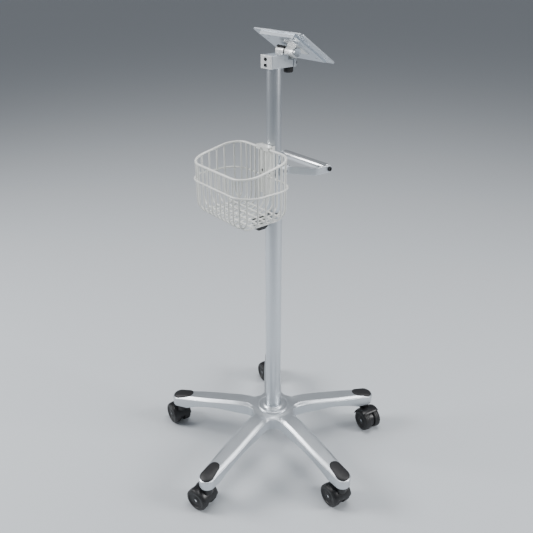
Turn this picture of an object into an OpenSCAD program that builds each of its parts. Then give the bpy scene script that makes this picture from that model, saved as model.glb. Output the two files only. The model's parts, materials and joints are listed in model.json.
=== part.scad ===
// Rolling stand for a portable medical monitor: five-arm base on twin-wheel casters,
// telescoping column, wire basket, push handle and a swivelling, tilting device plate.
// Origin: on the floor, on the column axis. +Z up, +Y towards the push handle.

/* [Base] */
// Radius of the circle that the caster stems stand on
stem_circle_r = 272; // [240:1:320]
// Turn of the star about the column, measured to the first arm
star_turn = -2.6; // [-36:0.2:36]
// Height of the flat on top of the hub
hub_top = 134; // [128:1:145]
// Height of the arm's top face at its end
arm_end_top = 106; // [100:1:112]
// Radius of the round end of an arm
arm_end_r = 20; // [18:0.5:24]
// Height of the underside of an arm's end
boss_bottom = 76; // [74:0.5:80]

/* [Casters] */
// Diameter of a wheel
wheel_d = 58; // [50:1:60]
// Width over the two wheels of a caster
caster_w = 50; // [46:1:54]
// Distance from the stem's axis back to the wheel's axle
caster_trail = 21; // [18:0.5:24]
// Direction that each caster trails in, one for each arm
trail_angles = [175, -10, 168, 174, 195]; // [-180:1:360]

/* [Column] */
// Outer diameter of the lower tube
lower_d = 38; // [38:1:44]
// Outer diameter of the upper tube
upper_d = 32; // [28:1:32]
// Height of the top of the lower tube
lower_top = 684; // [640:1:690]
// Height of the top of the upper tube
upper_top = 997; // [990:1:1010]
// Height of the bottom of the upper tube
upper_bottom = 430; // [400:5:470]
// Height of the axis of the column's clamp knob
clamp_z = 669; // [660:1:670]

/* [Basket] */
// Half of the basket's width
basket_hx = 98; // [85:1:110]
// Half of the basket's depth
basket_hy = 63.5; // [58:0.5:70]
// Distance from the column axis to the back of the basket
basket_back = 28; // [28:0.5:34]
// Height of the rim at the back
rim_back_z = 836; // [826:1:840]
// Height of the rim at the front
rim_front_z = 811; // [800:1:836]
// Height of the ring round the middle
ring_z = 775; // [760:1:785]
// Height of the lower layer of floor wires
floor_z = 701; // [700:1:720]
// Corner radius of the basket seen from above
basket_corner = 40; // [35:1:44]
// Radius of the bend where a wire turns from the wall into the floor
wire_bend = 24; // [20:1:26]
// Diameter of the basket's wires
wire_d = 4; // [3.5:0.1:4]
// Diameter of the rim wire
rim_d = 5; // [4:0.1:6]
// Number of wires down the front and the back
end_wires = 11; // [9:1:13]
// Number of wires down each side
side_wires = 6; // [5:1:7]

/* [Handle] */
// Distance from the column axis to the grip's axis
grip_y = 94; // [85:1:110]
// Height of the grip's axis
grip_z = 784.5; // [780:0.5:790]
// Half of the length between the handle's arms
grip_half = 71; // [60:1:80]
// Diameter of the grip
grip_d = 19.5; // [18:0.5:22]
// Distance from the column axis to the bend in an arm
arm_bend_y = 61; // [55:1:66]
// Height of an arm's flat bar
bar_h = 16.5; // [14:0.5:18]
// Thickness of an arm's flat bar
bar_t = 5; // [4:0.5:6]

/* [Head] */
// Half of the width of the head block
block_hx = 15.8; // [15.5:0.1:18]
// Distance from the column axis to the rear end of the head
block_rear = 22; // [18:0.5:26]
// Distance from the column axis to the head's swivel axis
swivel_y = 38.3; // [36:0.1:44]
// Height of the head block
block_h = 26; // [24:0.5:30]
// Height of the tilt axis
tilt_z = 1025; // [1024:0.5:1028]
// Tilt of the device plate from level
plate_tilt = 34; // [20:1:34]
// Radius of the tilt barrels
barrel_r = 10.5; // [9:0.1:10.5]
// Distance from the tilt axis to the underside of the inner plate
plate_gap = 12.6; // [12.6:0.1:15]
// Size of the inner plate across and down
inner_plate = [104, 104]; // [96:1:110]
// Size of the outer plate across and down
outer_plate = [151, 112]; // [112:1:170]
// Spacing of the device's screw holes
device_pitch = 75; // [60:1:80]

/* [Hidden] */
$fn = 48;

silver = "#b9c0c7";
wire_white = "#d5d6cf";
bright_steel = "#cfd3d6";
black_plastic = "#1c1d20";

arm_count = 5;
arm_step = 360 / arm_count;
lower_r = lower_d / 2;
upper_r = upper_d / 2;
lower_bore = lower_r - 2;
upper_bore = upper_r - 2;
run_gap = 0.05;

// Base: the arms fall in a straight line from the hub to their round ends
hub_r = 60;
hub_bottom = 98;
arm_root_r = 46;
hub_step = 1.2;
arm_fall = (hub_top - hub_step - arm_end_top) / (stem_circle_r - hub_r);
arm_angle = atan(arm_fall);
arm_flat = 30;
arm_w = 46;
arm_depth = 44;
bevel_drop = 7;
wall = 5;
socket_r = 8;
stem_r = 5.5;
stem_top = 96;

// Basket plan: half width or half depth of the rounded outline at an offset from its middle
basket_cy = -basket_back - basket_hy;
rim_tilt = atan((rim_back_z - rim_front_z) / (2 * basket_hy));
wire_r = wire_d / 2;
end_pitch = 2 * (basket_hx - 23) / (end_wires - 1);
side_pitch = 2 * (basket_hy - 13.5) / (side_wires - 1);
function reach(half, other_half, offset) =
    let (over = abs(offset) - (other_half - basket_corner))
    over <= 0 ? half : half - basket_corner + sqrt(basket_corner * basket_corner - over * over);
function rim_z(y) = rim_back_z - (-basket_back - y) * tan(rim_tilt);

// Clamp of the handle and the basket
clamp_h = 22;
clamp_hx = 23;
clamp_bolt_x = 19.6;
bracket_y = -basket_back + 6.4;
bracket_screw_x = [-10, 10];
bracket_screw_end = -14.3;
arm_screw_y = 9;

// Head
block_top = upper_top + block_h;
step_y = 24;
step_z = tilt_z - barrel_r - 2.5;
block_front = swivel_y - 0.7;
cap_back = swivel_y + 0.7;
cap_front = swivel_y + 8;
post_r = 6;
barrel_left = -31;
fixed_end = -5.3;
lever_x = [-5, -3];
saddle_start = -2.7;
barrel_right = 24;
axle_hole = 4.05;
lever_angle = 42;
plate_mid = 5;
saddle_screws = [[4, -14], [22, -14], [4, 18], [22, 18]];

module ring_solid(r_out, r_in, z0, z1) {
    translate([0, 0, z0]) difference() {
        cylinder(r = r_out, h = z1 - z0);
        translate([0, 0, -1]) cylinder(r = r_in, h = z1 - z0 + 2);
    }
}

// Each arm's own frame: +X along the arm, which is repeated round the star
module each_arm() {
    for (i = [0 : arm_count - 1]) rotate([0, 0, star_turn + i * arm_step]) children();
}

// ---------- base ----------
// Bevelled bar that follows the fall of the arm's top face, drawn inset by the wall's thickness
module arm_beam(r_start, r_end, inset) {
    half_w = arm_w / 2 - inset;
    half_flat = arm_flat / 2 - inset / 2;
    section = [
        [-half_w, -arm_depth], [half_w, -arm_depth], [half_w, -bevel_drop - inset],
        [half_flat, -inset], [-half_flat, -inset], [-half_w, -bevel_drop - inset]
    ];
    top_at_start = arm_end_top + (stem_circle_r - r_start) * arm_fall;
    translate([r_start, 0, top_at_start]) rotate([0, arm_angle, 0])
        rotate([90, 0, 90]) linear_extrude((r_end - r_start) / cos(arm_angle)) polygon(section);
}

module arm_envelope() {
    // side outline with an arched underside
    rotate([90, 0, 0]) translate([0, 0, -40]) linear_extrude(80) difference() {
        translate([arm_root_r, boss_bottom]) square([stem_circle_r - arm_root_r, 80]);
        translate([stem_circle_r - 132, boss_bottom - 222]) circle(r = 246, $fn = 180);
    }
}

module star_base() {
    color(silver) difference() {
        union() {
            translate([0, 0, hub_bottom]) cylinder(r = hub_r, h = hub_top - hub_bottom);
            // web between the arms, hollowed by one round scallop in each gap
            difference() {
                translate([0, 0, hub_bottom]) cylinder(r = 92, h = hub_top - hub_bottom - 8);
                each_arm() rotate([0, 0, arm_step / 2]) translate([108, 0, 0]) cylinder(r = 52, h = 200);
            }
            each_arm() {
                intersection() {
                    arm_beam(arm_root_r, stem_circle_r, 0);
                    arm_envelope();
                }
                translate([stem_circle_r, 0, boss_bottom])
                    cylinder(r = arm_end_r, h = arm_end_top - boss_bottom - 1);
            }
        }
        // the casting is open below: a channel in each arm and a ring round the hub's boss
        each_arm() arm_beam(hub_r - 2, stem_circle_r - 26, wall);
        translate([0, 0, hub_bottom - 1]) difference() {
            cylinder(r = hub_r - wall, h = hub_top - hub_bottom - 7);
            cylinder(r = 25, h = 60);
            for (i = [0 : arm_count - 1]) rotate([0, 0, star_turn + (i + 0.5) * arm_step])
                translate([0, -2, 0]) cube([hub_r, 4, 60]);
        }
        // column socket, bolt hole and the blind holes for the stem sockets
        translate([0, 0, 106]) cylinder(r = lower_r + run_gap, h = 60);
        cylinder(r = 5.5, h = 200);
        translate([0, 0, hub_bottom - 1]) cylinder(r = 12, h = 5);
        each_arm() translate([stem_circle_r, 0, 0]) cylinder(r = socket_r, h = stem_top + 4);
    }
}

module column_flange() {
    color(silver) rotate_extrude() polygon([
        [lower_r + 0.1, hub_top], [40, hub_top], [40, hub_top + 2.5], [38, hub_top + 4.5],
        [27, hub_top + 4.5], [24, hub_top + 8], [lower_r + 0.1, hub_top + 8]
    ]);
}

module arm_caps() {
    // crowned end caps that sit on the arm's flat and reach over its round end
    cap_start = stem_circle_r - 38;
    color(black_plastic) each_arm() intersection() {
        union() {
            translate([stem_circle_r - 1, 0, 90]) cylinder(r = 17, h = 40);
            translate([cap_start + 10, 0, 90]) cylinder(r = 14, h = 40);
            translate([cap_start + 10, -14, 90]) cube([28, 28, 40]);
        }
        difference() {
            translate([stem_circle_r, 0, arm_end_top + 3]) rotate([0, arm_angle, 0])
                translate([-60, -30, -2.4]) cube([100, 60, 6]);
            translate([stem_circle_r, 0, arm_end_top]) rotate([0, arm_angle, 0])
                translate([-60, -30, -5.6]) cube([60, 60, 6]);
            translate([stem_circle_r, 0, 0]) cylinder(r = arm_end_r + 1, h = arm_end_top - 0.6);
        }
    }
}

module stem_sockets() {
    color(bright_steel) each_arm() translate([stem_circle_r, 0, 0]) difference() {
        translate([0, 0, boss_bottom - 1]) cylinder(r = socket_r, h = stem_top + 3 - boss_bottom);
        translate([0, 0, boss_bottom - 2]) cylinder(r = stem_r + run_gap, h = stem_top + 1.5 - boss_bottom);
    }
}

module foot_plug() {
    color(silver) difference() {
        translate([0, 0, 106]) cylinder(r = lower_bore, h = 30);
        translate([0, 0, 100]) cylinder(r = 5, h = 34);
    }
}

module base_bolt() {
    color(bright_steel) union() {
        translate([0, 0, hub_bottom - 3]) cylinder(r = 9, h = 7, $fn = 6);
        translate([0, 0, hub_bottom + 2]) cylinder(r = 5, h = 30);
    }
}

// ---------- column ----------
module lower_tube() {
    color(silver) difference() {
        translate([0, 0, 106]) cylinder(r = lower_r, h = lower_top - 106);
        translate([0, 0, 100]) cylinder(r = lower_bore, h = lower_top);
        translate([0, 0, clamp_z]) rotate([90, 0, 0]) cylinder(r = 4.5, h = 40);
    }
}

module guide_bush() {
    color(black_plastic) rotate_extrude() polygon([
        [upper_r + run_gap, lower_top + 2.5], [lower_r, lower_top + 2.5], [lower_r, lower_top],
        [lower_bore, lower_top], [lower_bore, clamp_z + 6], [upper_r + run_gap, clamp_z + 6]
    ]);
}

module clamp_boss() {
    color(silver) difference() {
        translate([0, -lower_r - 8, clamp_z]) rotate([-90, 0, 0]) cylinder(r = 10, h = 12);
        cylinder(r = lower_r, h = lower_top + 40);
        translate([0, 0, clamp_z]) rotate([90, 0, 0]) cylinder(r = 4.1, h = 60);
    }
}

module brake_pad() {
    color(black_plastic) intersection() {
        translate([0, -lower_r + 0.1, clamp_z]) rotate([-90, 0, 0]) cylinder(r = 4, h = 8);
        ring_solid(40, upper_r + run_gap, clamp_z - 10, clamp_z + 10);
    }
}

module clamp_knob() {
    // round knob with finger flutes, on a threaded stud that pushes the pad
    color(black_plastic) union() {
        translate([0, -lower_r - 9, clamp_z]) rotate([90, 0, 0]) difference() {
            cylinder(r = 17, h = 22);
            for (i = [0 : 7]) rotate([0, 0, i * 45]) translate([19.5, 0, -1]) cylinder(r = 4, h = 26);
        }
        translate([0, -lower_r - 0.2, clamp_z]) rotate([90, 0, 0]) cylinder(r = 4, h = 12);
    }
}

module slide_ring() {
    color(black_plastic) difference() {
        ring_solid(lower_bore - run_gap, upper_r + run_gap, upper_bottom, upper_bottom + 24);
        ring_solid(lower_bore + 1, lower_bore - 0.8, upper_bottom + 8, upper_bottom + 16);
    }
}

module upper_tube() {
    color(silver) union() {
        ring_solid(upper_r, upper_bore, upper_bottom, upper_top);
        ring_solid(lower_bore - 0.4, upper_bore, upper_bottom - 3, upper_bottom - 0.3);
        ring_solid(upper_r, upper_bore, upper_bottom - 0.5, upper_bottom + 0.5);
        ring_solid(upper_r + 0.5, upper_bore, upper_bottom + 24.3, upper_bottom + 26);
    }
}

// ---------- handle ----------
// One jaw of the clamp that holds the handle and the basket's bracket on the upper tube
module clamp_jaw(y0, y1) {
    difference() {
        translate([-clamp_hx, y0, grip_z - clamp_h / 2]) cube([2 * clamp_hx, y1 - y0, clamp_h]);
        translate([0, 0, grip_z - 30]) cylinder(r = upper_r, h = 60);
        for (x = [-1, 1], z = [-1, 1])
            translate([x * clamp_bolt_x, 40, grip_z + z * 6]) rotate([90, 0, 0]) cylinder(r = 2.2, h = 80);
    }
}

module handle_clamp() {
    color(silver) difference() {
        clamp_jaw(0.5, 24);
        for (side = [-1, 1]) translate([side * (clamp_hx + 1), arm_screw_y, grip_z]) rotate([0, -side * 90, 0])
            cylinder(r = 2.5, h = 3.5);
    }
}

module clamp_saddle() {
    // the rear jaw is narrow at its back, so that it fits between the bracket's flanges
    color(silver) difference() {
        clamp_jaw(bracket_y + 3.05, -0.5);
        for (side = [-1, 1]) translate([side * 27.4 - 10, -30, grip_z - 20]) cube([20, 17, 40]);
        for (x = bracket_screw_x) translate([x, -30, grip_z]) rotate([-90, 0, 0])
            cylinder(r = 2.15, h = bracket_screw_end + 30.1);
    }
}

module arm_outline() {
    // plan outline of one flat bar, bent twice: along the clamp, splayed out, then straight
    polygon([
        [clamp_hx, -4], [clamp_hx, 22], [grip_half - 1, arm_bend_y - 2], [grip_half + 0.5, grip_y],
        [grip_half + 0.5 + bar_t, grip_y], [grip_half - 1 + bar_t, arm_bend_y - 3.6],
        [clamp_hx + bar_t, 19.4], [clamp_hx + bar_t, -4]
    ]);
}

module handle_arm() {
    difference() {
        union() {
            translate([0, 0, grip_z - bar_h / 2]) linear_extrude(bar_h) arm_outline();
            translate([grip_half + 0.5, grip_y, grip_z]) rotate([0, 90, 0]) cylinder(r = bar_h / 2, h = bar_t);
        }
        translate([grip_half - 5, grip_y, grip_z]) rotate([0, 90, 0]) cylinder(r = 3, h = 30);
        translate([0, arm_screw_y, grip_z]) rotate([0, 90, 0]) cylinder(r = 2.6, h = 40);
    }
}

module handle_arm_right() { color(silver) handle_arm(); }

module handle_arm_left() { color(silver) mirror([1, 0, 0]) handle_arm(); }

module grip_tube() {
    color(bright_steel) translate([-grip_half, grip_y, grip_z]) rotate([0, 90, 0]) difference() {
        cylinder(r = grip_d / 2, h = 2 * grip_half);
        translate([0, 0, -1]) cylinder(r = grip_d / 2 - 1.5, h = 2 * grip_half + 2);
    }
}

module grip_plugs() {
    color(black_plastic) for (side = [-1, 1])
        translate([side * grip_half, grip_y, grip_z]) rotate([0, -side * 90, 0]) difference() {
            cylinder(r = grip_d / 2 - 1.5, h = 16);
            translate([0, 0, -1]) cylinder(r = 3, h = 14);
        }
}

module button_screw(r, head_r, head_h, shank) {
    // head above the origin, shank below, with a hexagon socket
    difference() {
        union() {
            cylinder(r = head_r, h = head_h);
            translate([0, 0, -shank]) cylinder(r = r, h = shank + 0.1);
        }
        translate([0, 0, head_h - 1.6]) cylinder(r = head_r * 0.5, h = 3, $fn = 6);
    }
}

module grip_screws() {
    color("#3a3c40") for (side = [-1, 1])
        translate([side * (grip_half + 0.5 + bar_t), grip_y, grip_z]) rotate([0, side * 90, 0])
            button_screw(2.95, 5.2, 2.6, 17);
}

module arm_screws() {
    color("#3a3c40") for (side = [-1, 1])
        translate([side * (clamp_hx + bar_t), arm_screw_y, grip_z]) rotate([0, side * 90, 0])
            button_screw(2.5, 4.4, 2.2, 7);
}

module clamp_screws() {
    color("#3a3c40") for (x = [-1, 1], z = [-1, 1])
        translate([x * clamp_bolt_x, 24, grip_z + z * 6]) rotate([-90, 0, 0])
            button_screw(2.15, 3.2, 2.2, 34);
    color("#3a3c40") for (x = bracket_screw_x)
        translate([x, bracket_y, grip_z]) rotate([90, 0, 0]) button_screw(2.15, 3.2, 2, bracket_screw_end - bracket_y);
}

// ---------- basket ----------
module basket_bracket() {
    // folded channel: hooked over the rim, screwed to the clamp's rear jaw
    z0 = ring_z - 43;
    z1 = rim_back_z + 6;
    color(wire_white) difference() {
        union() {
            translate([-20, bracket_y, z0]) cube([40, 3, z1 - z0]);
            for (x = [-20, 17.5]) translate([x, bracket_y, z0]) cube([2.5, 8, z1 - z0]);
            translate([-20, -basket_back - 5, z1 - 2.6]) cube([40, 12, 2.6]);
            translate([-20, -basket_back - 5, z1 - 9]) cube([40, 2, 9]);
        }
        for (x = [-9, 9], z = [z0 + 12, grip_z + 12]) translate([x - 2.5, bracket_y - 5, z]) cube([5, 20, 28]);
        for (x = bracket_screw_x) translate([x, -30, grip_z]) rotate([-90, 0, 0]) cylinder(r = 2.2, h = 18);
        translate([-5, -basket_back - 10, z1 - 12]) cube([10, 7.6, 8]);
    }
}

// Rounded rectangle of round rod, with half sizes hx, hy and corner radius cr
module rod_frame(hx, hy, cr, r) {
    for (side = [-1, 1]) {
        translate([side * hx, -(hy - cr), 0]) rotate([-90, 0, 0]) cylinder(r = r, h = 2 * (hy - cr));
        translate([-(hx - cr), side * hy, 0]) rotate([0, 90, 0]) cylinder(r = r, h = 2 * (hx - cr));
    }
    for (k = [0 : 3]) {
        sx = (k == 0 || k == 3) ? 1 : -1;
        sy = (k < 2) ? 1 : -1;
        translate([sx * (hx - cr), sy * (hy - cr), 0]) rotate([0, 0, k * 90])
            rotate_extrude(angle = 90) translate([cr, 0]) circle(r = r);
    }
}

module basket_rim() {
    color(wire_white) translate([0, -basket_back, rim_back_z]) rotate([rim_tilt, 0, 0])
        translate([0, -basket_hy / cos(rim_tilt), 0])
            rod_frame(basket_hx, basket_hy / cos(rim_tilt), basket_corner, rim_d / 2);
}

module basket_ring() {
    out = wire_r + wire_r + 0.05;
    color(wire_white) translate([0, basket_cy, ring_z])
        rod_frame(basket_hx + out, basket_hy + out, basket_corner + out, wire_r);
}

// Wall wire: stands at distance half along +X, bends into the floor at height z0
module wall_wire(half, z0, z1) {
    translate([half, 0, z0 + wire_bend]) cylinder(r = wire_r, h = z1 - z0 - wire_bend);
    translate([half - wire_bend, 0, z0 + wire_bend]) rotate([90, 0, 0]) rotate([0, 0, -90])
        rotate_extrude(angle = 90) translate([wire_bend, 0]) circle(r = wire_r);
}

module basket_end_wires() {
    color(wire_white) for (i = [0 : end_wires - 1], side = [-1, 1]) {
        x = (i - (end_wires - 1) / 2) * end_pitch;
        half = reach(basket_hy, basket_hx, x);
        translate([x, basket_cy, 0]) rotate([0, 0, side * 90])
            wall_wire(half, floor_z, rim_z(basket_cy + side * half));
    }
}

module basket_side_wires() {
    color(wire_white) for (i = [0 : side_wires - 1], side = [0, 1]) {
        y = (i - (side_wires - 1) / 2) * side_pitch;
        half = reach(basket_hx, basket_hy, y);
        translate([0, basket_cy + y, 0]) mirror([side, 0, 0])
            wall_wire(half, floor_z + wire_d + 0.05, rim_z(basket_cy + y));
    }
}

module basket_floor_wires() {
    color(wire_white) {
        for (i = [0 : end_wires - 1]) {
            x = (i - (end_wires - 1) / 2) * end_pitch;
            half = reach(basket_hy, basket_hx, x) - wire_bend;
            translate([x, basket_cy - half, floor_z]) rotate([-90, 0, 0]) cylinder(r = wire_r, h = 2 * half);
        }
        for (i = [0 : side_wires - 1]) {
            y = (i - (side_wires - 1) / 2) * side_pitch;
            half = reach(basket_hx, basket_hy, y) - wire_bend;
            translate([-half, basket_cy + y, floor_z + wire_d + 0.05]) rotate([0, 90, 0])
                cylinder(r = wire_r, h = 2 * half);
        }
    }
}

// ---------- head ----------
module head_block() {
    color(silver) difference() {
        union() {
            translate([-block_hx, -block_rear + 4, upper_top])
                cube([2 * block_hx, step_y + block_rear - 4, block_h]);
            translate([-block_hx, 0, upper_top]) cube([2 * block_hx, block_front, step_z - upper_top]);
            translate([0, 0, upper_top - 40]) cylinder(r = upper_bore, h = 41);
        }
        translate([0, swivel_y, 0]) cylinder(r = post_r + run_gap, h = 2000);
        for (z = [-1, 1]) translate([0, 0, upper_top + block_h / 2 + z * 5.8]) rotate([90, 0, 0])
            cylinder(r = 2.5, h = 60);
        for (x = [-1, 1]) translate([x * 11.4, 20, upper_top + 7.5]) rotate([-90, 0, 0])
            cylinder(r = 2.5, h = 60);
    }
}

module head_end_plate() {
    color(wire_white) difference() {
        translate([-block_hx, -block_rear, upper_top]) cube([2 * block_hx, 3.6, block_h]);
        for (z = [-1, 1]) translate([0, -block_rear - 1, upper_top + block_h / 2 + z * 5.8])
            rotate([-90, 0, 0]) cylinder(r = 2.6, h = 20);
    }
}

module post_cap() {
    color(silver) difference() {
        translate([-block_hx, cap_back, upper_top])
            cube([2 * block_hx, cap_front - cap_back, step_z - upper_top]);
        translate([0, swivel_y, 0]) cylinder(r = post_r + run_gap, h = 2000);
        for (x = [-1, 1]) translate([x * 11.4, 20, upper_top + 7.5]) rotate([-90, 0, 0])
            cylinder(r = 2.6, h = 60);
    }
}

module head_screws() {
    color("#2b2d30") {
        for (z = [-1, 1]) translate([0, -block_rear, upper_top + block_h / 2 + z * 5.8])
            rotate([90, 0, 0]) button_screw(2.5, 3.4, 1.8, 16);
        for (x = [-1, 1]) translate([x * 11.4, cap_front, upper_top + 7.5])
            rotate([-90, 0, 0]) button_screw(2.5, 3.8, 2.2, 22);
    }
}

module swivel_head() {
    // post, turntable disc, pedestal and the fixed half of the tilt hinge
    color(bright_steel) difference() {
        union() {
            translate([0, swivel_y, upper_top - 11]) cylinder(r = post_r, h = step_z - upper_top + 12);
            translate([0, swivel_y, step_z + 0.3]) cylinder(r = 13.5, h = 1.8);
            translate([-14, swivel_y - 8, step_z + 0.3]) cube([fixed_end + 14, 16, tilt_z - step_z]);
            translate([barrel_left, swivel_y, tilt_z]) rotate([0, 90, 0])
                cylinder(r = barrel_r, h = fixed_end - barrel_left);
        }
        translate([barrel_left - 1, swivel_y, tilt_z]) rotate([0, 90, 0]) cylinder(r = axle_hole, h = 80);
    }
}

module swivel_knob() {
    color(black_plastic) translate([0, swivel_y, upper_top - 11.3]) difference() {
        union() {
            translate([0, 0, -1.5]) cylinder(r = 9, h = 2);
            cylinder(r = 10, h = 11);
        }
        translate([0, 0, -0.1]) cylinder(r = post_r + run_gap, h = 30);
        for (i = [0 : 11]) rotate([0, 0, i * 30]) translate([11, 0, -2]) cylinder(r = 1.6, h = 20);
    }
}

// Frame of the device plate: origin on the tilt axis, +Z along the plate's normal
module plate_frame() {
    translate([0, swivel_y, tilt_z]) rotate([-plate_tilt, 0, 0]) children();
}

module device_holes(h) {
    for (x = [-1, 1], y = [-1, 1])
        translate([x * device_pitch / 2, plate_mid + y * device_pitch / 2, plate_gap - 10]) cylinder(r = 2.5, h = h);
}

module tilt_saddle() {
    // the moving half of the hinge, with the web and flange that carry the plates
    saddle_w = barrel_right - saddle_start;
    color(bright_steel) plate_frame() difference() {
        union() {
            translate([saddle_start, 0, 0]) rotate([0, 90, 0]) cylinder(r = barrel_r, h = saddle_w);
            translate([saddle_start, -8, 0]) cube([saddle_w, 16, plate_gap - 1]);
            translate([saddle_start, -22, plate_gap - 2]) cube([saddle_w + 6, 48, 2]);
        }
        translate([-40, 0, 0]) rotate([0, 90, 0]) cylinder(r = axle_hole, h = 80);
        for (p = saddle_screws) translate([p[0], p[1], 0]) cylinder(r = 2, h = 30);
    }
}

module tilt_axle() {
    // headed pin through both halves of the hinge
    color("#8d9094") translate([0, swivel_y, tilt_z]) rotate([0, 90, 0]) union() {
        translate([0, 0, barrel_left - 1]) cylinder(r = 4, h = barrel_right + 2 - barrel_left);
        translate([0, 0, barrel_left - 3]) cylinder(r = 7, h = 2.9);
        translate([0, 0, barrel_right + 0.3]) cylinder(r = 8.6, h = 3);
    }
}

module tilt_lever() {
    // ring between the two halves of the hinge, with an arm that lies along the fixed half
    arm_in = barrel_r + 0.5;
    arm_out = arm_in + 2.8;
    color(black_plastic) translate([0, swivel_y, tilt_z]) rotate([lever_angle, 0, 0]) difference() {
        union() {
            translate([lever_x[0], 0, 0]) rotate([0, 90, 0]) cylinder(r = 10, h = lever_x[1] - lever_x[0]);
            translate([lever_x[0], -2.2, 7]) cube([lever_x[1] - lever_x[0], 4.4, arm_out - 7]);
            translate([-23, -2.2, arm_in]) cube([lever_x[1] + 23, 4.4, arm_out - arm_in]);
            translate([-23, 0, arm_in]) cylinder(r = 3, h = arm_out - arm_in + 0.3);
        }
        translate([-40, 0, 0]) rotate([0, 90, 0]) cylinder(r = axle_hole, h = 80);
    }
}

module inner_plate() {
    color(silver) plate_frame() difference() {
        translate([-inner_plate[0] / 2, plate_mid - inner_plate[1] / 2, plate_gap]) union() {
            cube([inner_plate[0], inner_plate[1], 2.5]);
            translate([0, 0, -5]) cube([inner_plate[0], 2, 6]);
        }
        device_holes(40);
        for (p = saddle_screws) translate([p[0], p[1], 0]) cylinder(r = 2, h = 30);
    }
}

module outer_plate() {
    top = plate_gap + 2.5;
    color(silver) plate_frame() difference() {
        union() {
            translate([-outer_plate[0] / 2 + 6, plate_mid - outer_plate[1] / 2, top])
                cube([outer_plate[0] - 12, outer_plate[1], 2.5]);
            translate([-outer_plate[0] / 2, plate_mid - outer_plate[1] / 2 + 6, top])
                cube([outer_plate[0], outer_plate[1] - 12, 2.5]);
            for (x = [-1, 1], y = [-1, 1])
                translate([x * (outer_plate[0] / 2 - 6), plate_mid + y * (outer_plate[1] / 2 - 6), top])
                    cylinder(r = 6, h = 2.5);
        }
        device_holes(40);
        for (p = saddle_screws) translate([p[0], p[1], top - 0.05]) cylinder(r1 = 2, r2 = 4.1, h = 2.6);
        for (p = saddle_screws) translate([p[0], p[1], 0]) cylinder(r = 2, h = 30);
        for (x = [-62, 62], y = [-34, -18, 22, 38])
            translate([x, plate_mid + y, 0]) cylinder(r = 2.6, h = 30);
    }
}

module plate_screws() {
    // countersunk, flush with the outer plate's top
    color("#2b2d30") plate_frame() for (p = saddle_screws)
        translate([p[0], p[1], plate_gap + 2.5]) difference() {
            union() {
                cylinder(r1 = 2, r2 = 3.95, h = 2.4);
                translate([0, 0, -4.4]) cylinder(r = 2, h = 4.5);
            }
            translate([0, 0, 1]) cylinder(r = 1.6, h = 3, $fn = 6);
        }
}

// ---------- casters ----------
wheel_r = wheel_d / 2;
web_w = 12;
wheel_gap = 0.4;
wheel_w = (caster_w - web_w) / 2 - wheel_gap;
axle_r = 4;
stem_bottom = 46;
hood_top = boss_bottom - 2;
hood_clear = wheel_r + 1.5;
hood_low = 34;

// Frame of caster i: origin on the floor under its stem, +X the way it trails
module caster_frame(i) {
    rotate([0, 0, star_turn + (i - 1) * arm_step]) translate([stem_circle_r, 0, 0])
        rotate([0, 0, trail_angles[i - 1] - star_turn - (i - 1) * arm_step]) children();
}

module caster_hood() {
    color(black_plastic) difference() {
        union() {
            // web between the wheels, the stem boss and the canopy over the wheels
            translate([caster_trail, web_w / 2, wheel_r]) rotate([90, 0, 0]) cylinder(r = wheel_r - 5, h = web_w);
            translate([0, 0, 36]) cylinder(r = 11, h = hood_top - 36);
            intersection() {
                translate([caster_trail, caster_w / 2, wheel_r]) rotate([90, 0, 0])
                    cylinder(r = hood_clear + 3.5, h = caster_w);
                translate([caster_trail - 60, -40, hood_low]) cube([75, 80, 60]);
            }
        }
        // room for the wheels on both sides of the web
        for (side = [-1, 1]) translate([caster_trail, side * (web_w / 2 + 20), wheel_r])
            rotate([90, 0, 0]) cylinder(r = hood_clear, h = 40, center = true);
        translate([caster_trail, 40, wheel_r]) rotate([90, 0, 0]) cylinder(r = axle_r, h = 80);
        translate([0, 0, stem_bottom]) cylinder(r = stem_r, h = 100);
    }
}

module caster_pins() {
    // the stem with its flange, and the axle
    color(bright_steel) union() {
        translate([0, 0, stem_bottom]) cylinder(r = stem_r, h = stem_top - 1 - stem_bottom);
        translate([0, 0, hood_top]) cylinder(r = 8.5, h = 0.65);
        translate([caster_trail, caster_w / 2 - 2, wheel_r]) rotate([90, 0, 0]) cylinder(r = axle_r, h = caster_w - 4);
    }
}

module caster_wheel() {
    // dished wheel with a rounded tread, standing on the plane y = 0 and reaching to +Y
    color(black_plastic) rotate([-90, 0, 0]) rotate_extrude() polygon([
        [axle_r + run_gap, 0], [wheel_r - 3, 0], [wheel_r - 0.8, 1.2], [wheel_r, 4],
        [wheel_r, wheel_w - 5], [wheel_r - 1.4, wheel_w - 2], [wheel_r - 5, wheel_w],
        [wheel_r - 8, wheel_w], [wheel_r - 10, wheel_w - 3], [10, wheel_w - 4],
        [8, wheel_w - 1.5], [axle_r + run_gap, wheel_w - 1.5]
    ]);
}

module wheel_place(i, side) {
    caster_frame(i) translate([caster_trail, side * (web_w / 2 + wheel_gap), wheel_r])
        rotate([0, 0, side > 0 ? 0 : 180]) caster_wheel();
}

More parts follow.
